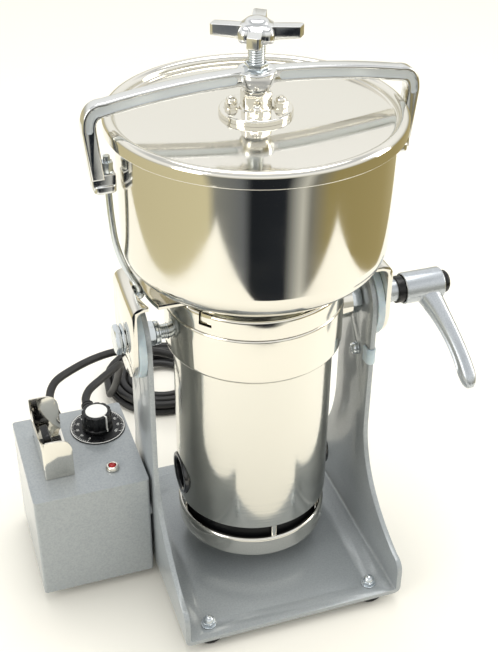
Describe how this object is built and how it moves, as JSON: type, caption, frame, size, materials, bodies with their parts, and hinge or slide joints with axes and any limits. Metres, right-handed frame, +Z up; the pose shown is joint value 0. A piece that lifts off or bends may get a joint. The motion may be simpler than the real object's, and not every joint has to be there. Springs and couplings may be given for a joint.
{
  "type": "electric food mill",
  "caption": "Tilting electric food mill: a round steel bowl with a clamped lid on an upright motor, hung in a bent plate stand with a control box and mains lead.",
  "frame": {"origin": "under the middle of the footprint of the machine without its cords, at the feet's undersides", "axes": "+Z up, +Y to the back, +X to the clamping lever's side; the bowl tips toward -Y"},
  "size_m": [0.3612, 0.4122, 0.4706],
  "materials": {
    "hammertone": "grey hammertone paint",
    "polished_steel": "polished stainless steel",
    "brushed_steel": "turned, fine rings around",
    "plain_steel": "plain bright steel",
    "cast_aluminium": "smooth cast and polished",
    "iron": "stacked sheets with windings",
    "black_plastic": "satin black",
    "black_rubber": "matt black",
    "nylon": "pale blue nylon",
    "seal": "white silicone",
    "silver_paint": "silver paint",
    "red_lens": "clear red"
  },
  "bodies": {
    "stand": {"stand_frame": "hammertone", "rubber_foot_1": "black_rubber", "rubber_foot_2": "black_rubber", "rubber_foot_3": "black_rubber", "rubber_foot_4": "black_rubber", "stop_screw": "plain_steel", "edge_clip": "black_plastic", "control_box": "hammertone", "box_cover": "hammertone", "switch_guard": "polished_steel", "switch_body": "black_plastic", "dial_plate": "black_plastic", "speed_control": "black_plastic", "lamp_bezel": "polished_steel", "lamp_lens": "red_lens", "mains_gland": "black_rubber", "motor_gland": "black_rubber", "mains_lead": "black_rubber", "mains_coil": "black_rubber", "mains_tail": "black_rubber", "mains_plug": "black_plastic"},
    "paddle": {"switch_paddle": "black_plastic"},
    "dial": {"dial_knob": "black_plastic"},
    "grinder": {"motor_tube": "brushed_steel", "motor_end_cap": "cast_aluminium", "lower_bearing": "plain_steel", "brush_holder_right": "black_plastic", "brush_holder_left": "black_plastic", "stator": "iron", "motor_collar": "polished_steel", "collar_plate": "polished_steel", "bracket_strap": "plain_steel", "friction_disc_right": "nylon", "friction_disc_left": "nylon", "pivot_bolt_left": "plain_steel", "pivot_stud_right": "plain_steel", "bowl_neck": "cast_aluminium", "upper_bearing": "plain_steel", "bowl": "polished_steel", "lid_gasket": "seal", "lid": "polished_steel", "lid_flange": "polished_steel", "motor_boot": "black_rubber", "motor_cable": "black_rubber"},
    "rotor": {"rotor_shaft": "plain_steel", "armature": "iron", "fan": "cast_aluminium", "lower_blade": "plain_steel", "upper_blade": "plain_steel", "blade_nut": "plain_steel"},
    "clamp": {"clamp_nut": "black_plastic"},
    "lever": {"clamp_lever": "silver_paint", "lever_cap": "black_plastic"},
    "knob": {"spindle": "plain_steel", "cross_knob": "polished_steel"},
    "yoke_nut": {"yoke_insert": "plain_steel"},
    "yoke": {"yoke": "cast_aluminium", "tie_rod_right": "plain_steel", "tie_rod_left": "plain_steel"}
  },
  "joints": [
    {"name": "tilt", "type": "hinge", "parent": "stand", "child": "grinder", "pos_m": [0.0084, 0.0038, 0.2334], "axis": [1, 0, 0], "range_deg": [0, 90]},
    {"name": "clamp_turn", "type": "hinge", "parent": "grinder", "child": "clamp", "pos_m": [0.0084, 0.0038, 0.2334], "axis": [1, 0, 0], "range_deg": [-40, 50]},
    {"name": "lever_lift", "type": "slide", "parent": "clamp", "child": "lever", "axis": [1, 0, 0], "range_m": [0, 0.004], "stiffness_N_per_m": 900, "springref_m": -0.004},
    {"name": "rotor_spin", "type": "hinge", "parent": "grinder", "child": "rotor", "pos_m": [0.0084, 0.0038, 0], "axis": [0, 0, 1], "continuous": true},
    {"name": "knob_turn", "type": "hinge", "parent": "grinder", "child": "knob", "pos_m": [0.0084, 0.0038, 0.409], "axis": [0, 0, 1], "range_deg": [0, 240]},
    {"name": "yoke_drop", "type": "slide", "parent": "grinder", "child": "yoke_nut", "axis": [0, 0, 1], "range_m": [-0.00117, 0]},
    {"name": "yoke_turn", "type": "hinge", "parent": "yoke_nut", "child": "yoke", "pos_m": [0.0084, 0.0038, 0.428], "axis": [0, 0, 1], "range_deg": [0, 35]},
    {"name": "dial_turn", "type": "hinge", "parent": "stand", "child": "dial", "pos_m": [-0.1121, 0.0578, 0.1106], "axis": [0, 0, 1], "range_deg": [-60, 240]},
    {"name": "switch_tip", "type": "hinge", "parent": "stand", "child": "paddle", "pos_m": [-0.1546, 0.0348, 0.1114], "axis": [0, 1, 0], "range_deg": [0, 24]}
  ],
  "couplings": [
    {"joint": "knob_turn", "follows": "yoke_drop", "rad_per_m": -3590.4}
  ]
}
